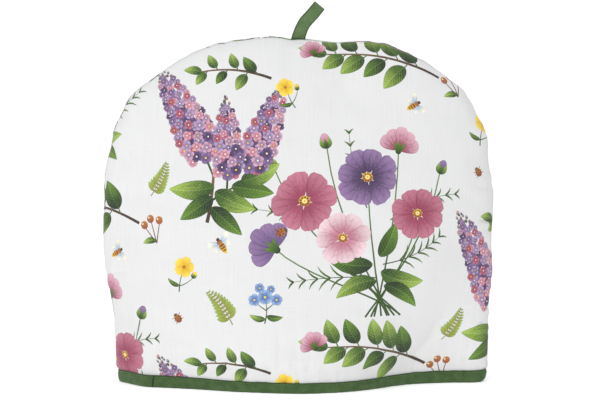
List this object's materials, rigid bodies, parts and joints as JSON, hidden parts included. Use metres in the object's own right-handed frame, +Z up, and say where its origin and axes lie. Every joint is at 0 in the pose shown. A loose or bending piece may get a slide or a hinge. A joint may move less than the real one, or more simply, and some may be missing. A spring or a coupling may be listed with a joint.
{
  "type": "tea cosy",
  "caption": "Padded cloth tea cosy: two dome-shaped panels sewn along their curved edge, a bound open hem and a folded hanging loop at the top.",
  "frame": {"origin": "middle of the hem's box in plan, on the surface that the cosy stands on", "axes": "+X along the cosy's width to the right seen from the front, +Z up, the printed front panel faces -Y"},
  "size_m": [0.3216, 0.1354, 0.3128],
  "materials": {
    "front_panel": "off-white printed cotton over wadding",
    "back_panel": "off-white printed cotton over wadding",
    "hem_binding": "mid-green woven cotton bias tape",
    "hanging_loop": "mid-green woven cotton bias tape, folded"
  },
  "bodies": {
    "root": {"front_panel": "front_panel", "back_panel": "back_panel", "hem_binding": "hem_binding", "hanging_loop": "hanging_loop"}
  },
  "joints": []
}
